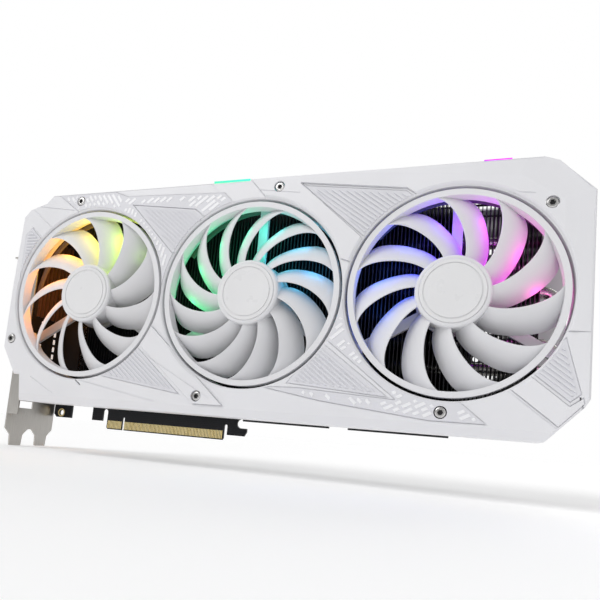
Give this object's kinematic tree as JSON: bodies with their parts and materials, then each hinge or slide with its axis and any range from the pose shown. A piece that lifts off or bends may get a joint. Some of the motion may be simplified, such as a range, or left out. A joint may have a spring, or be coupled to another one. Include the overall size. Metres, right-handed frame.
{
  "type": "graphics card",
  "caption": "Triple-fan graphics card with a slot edge connector, fin-stack cooler, two-slot bracket and lit white cover.",
  "frame": {"origin": "centre of the key notch of the edge connector, at the bottom edge of the contacts, in the middle of the board's thickness", "axes": "+X along the card to its tail, +Z away from the motherboard, fans face -Y"},
  "size_m": [0.3299, 0.0578, 0.1553],
  "materials": {
    "cover_white": "satin white moulding",
    "rib_white": "ribbed matt white inserts",
    "fan_white": "satin white",
    "cap_silver": "pearl white with a grooved ring",
    "steel": "bare steel",
    "screw_black": "black",
    "screw_nickel": "nickel plated",
    "light_orange_green": "translucent diffuser",
    "lamp_board": "black",
    "glow": "translucent light guide",
    "motor_white": "matt white",
    "copper": "enamelled copper windings",
    "nickel": "nickel plated copper",
    "fin_black": "black coated fins",
    "frame_black": "black",
    "board_black": "black solder mask",
    "gold": "gold plating",
    "package_green": "green laminate",
    "silicon": "polished silicon",
    "chip_black": "epoxy package",
    "choke_grey": "powdered iron",
    "can_silver": "aluminium can",
    "bracket_steel": "polished stainless steel",
    "socket_metal": "plated shell",
    "socket_white": "white nylon",
    "backplate_white": "silver white lacquer"
  },
  "bodies": {
    "card": {"front_shroud": "cover_white", "shroud_screws": "screw_nickel", "light_bar": "light_orange_green", "light_strip": "lamp_board", "glow_guides": "glow", "fan_mounts": "motor_white", "fan_stators": "copper", "heat_pipes": "nickel", "cold_plate": "nickel", "power_stage_plate": "fin_black", "board_frame": "frame_black", "circuit_board": "board_black", "edge_contacts": "gold", "gpu_substrate": "package_green", "gpu_die": "silicon", "memory_chips": "chip_black", "chokes": "choke_grey", "power_stages": "chip_black", "capacitors": "can_silver", "fan_headers": "lamp_board", "video_sockets_narrow": "socket_metal", "video_sockets_wide": "socket_metal", "io_bracket": "bracket_steel", "bracket_screws": "steel", "end_baffle": "frame_black", "switch_body": "lamp_board", "backplate": "backplate_white", "standoffs": "steel", "tail_posts": "screw_black", "backplate_screws": "screw_black", "gpu_brace": "steel", "brace_screws": "steel", "cover_right": "cover_white", "cover_diagonal": "cover_white", "cover_lower_right": "cover_white", "ribs_upper_left": "rib_white", "ribs_upper_middle": "rib_white", "ribs_lower_left": "rib_white", "ribs_lower_middle": "rib_white", "ribs_lower_right": "rib_white", "ribs_left_edge": "rib_white", "pattern_upper": "rib_white", "pattern_lower": "rib_white", "fins_left": "fin_black", "fins_middle": "fin_black", "fins_tail": "fin_black", "power_socket_1": "socket_white", "power_socket_2": "socket_white", "power_socket_3": "socket_white"},
    "fan_left": {"fan_left_rotor": "fan_white", "fan_left_cap": "cap_silver", "fan_left_steel": "steel"},
    "fan_centre": {"fan_centre_rotor": "fan_white", "fan_centre_cap": "cap_silver", "fan_centre_steel": "steel"},
    "fan_right": {"fan_right_rotor": "fan_white", "fan_right_cap": "cap_silver", "fan_right_steel": "steel"},
    "switch": {"switch_slider": "socket_white"}
  },
  "joints": [
    {"name": "fan_left_spin", "type": "hinge", "parent": "card", "child": "fan_left", "pos_m": [0.001, -0.045, 0.077], "axis": [0, -1, 0], "continuous": true},
    {"name": "fan_centre_spin", "type": "hinge", "parent": "card", "child": "fan_centre", "pos_m": [0.1023, -0.045, 0.077], "axis": [0, -1, 0], "continuous": true},
    {"name": "fan_right_spin", "type": "hinge", "parent": "card", "child": "fan_right", "pos_m": [0.2036, -0.045, 0.077], "axis": [0, -1, 0], "continuous": true},
    {"name": "switch_slide", "type": "slide", "parent": "card", "child": "switch", "axis": [1, 0, 0], "range_m": [0, 0.002]}
  ]
}
